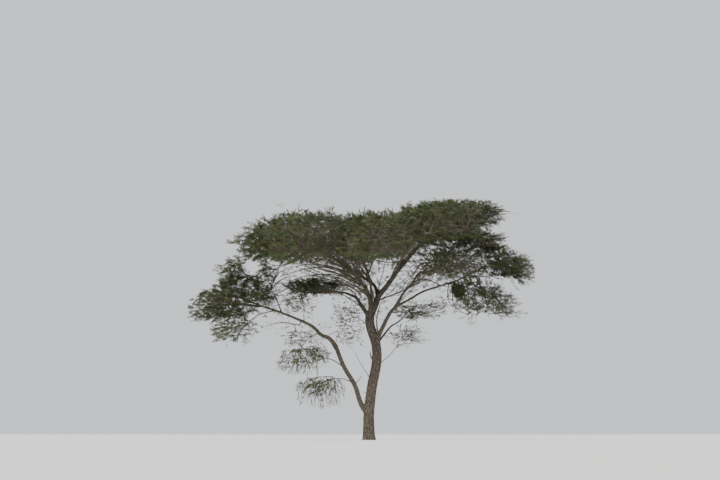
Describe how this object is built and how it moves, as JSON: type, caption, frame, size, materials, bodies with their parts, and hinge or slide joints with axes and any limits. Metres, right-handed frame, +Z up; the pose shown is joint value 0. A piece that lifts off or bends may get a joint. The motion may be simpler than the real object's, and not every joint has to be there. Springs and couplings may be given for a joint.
{
  "type": "acacia tree",
  "caption": "Flat-topped umbrella thorn acacia: a leaning trunk, spreading boughs and a wide, layered crown of fine twigs and leaves.",
  "frame": {"origin": "middle of the flat cut under the trunk, at ground level", "axes": "+Z up, +X to the right and +Y away from the viewer, as the picture shows the tree; the crown is widest along X"},
  "size_m": [14.51, 11.5953, 10.08],
  "materials": {
    "bark": "rough, furrowed grey-brown bark",
    "leaves": "matt, dull olive-green leaflets on grey-brown twigs",
    "sticks": "dry, matt, interwoven dead twigs"
  },
  "bodies": {
    "root": {"trunk": "bark", "leader": "bark", "left_low_bough": "bark", "left_reach_bough": "bark", "left_riser": "bark", "left_droop_bough": "bark", "left_sprig_bough": "bark", "left_underside_bough": "bark", "hanging_upper_bough": "bark", "hanging_lower_bough": "bark", "bare_shoot": "bark", "inner_twig_bough": "bark", "right_twig_bough": "bark", "shelf_bough": "bark", "left_bough": "bark", "left_front_bough": "bark", "front_bough": "bark", "back_left_bough": "bark", "centre_bough": "bark", "back_bough": "bark", "right_bough": "bark", "right_front_bough": "bark", "right_back_bough": "bark", "right_inner_bough": "bark", "right_low_bough": "bark", "right_rising_bough": "bark", "right_reach_bough": "bark", "right_front_low_bough": "bark", "right_under_bough": "bark", "clump_bough": "bark", "right_fan_bough": "bark", "crown_centre": "leaves", "crown_left": "leaves", "crown_left_front": "leaves", "crown_front": "leaves", "crown_right_front": "leaves", "crown_right": "leaves", "crown_right_back": "leaves", "crown_back": "leaves", "crown_left_back": "leaves", "right_second_tier": "leaves", "right_shelf": "leaves", "right_front_net": "leaves", "right_back_net": "leaves", "right_under": "leaves", "left_shelf": "leaves", "left_spur": "leaves", "left_droop": "leaves", "left_sprig": "leaves", "left_underside": "leaves", "hanging_upper": "leaves", "hanging_lower": "leaves", "inner_twigs": "leaves", "right_low_twigs": "leaves", "right_fan": "leaves", "inner_shelf": "leaves", "stick_clump": "sticks"}
  },
  "joints": []
}
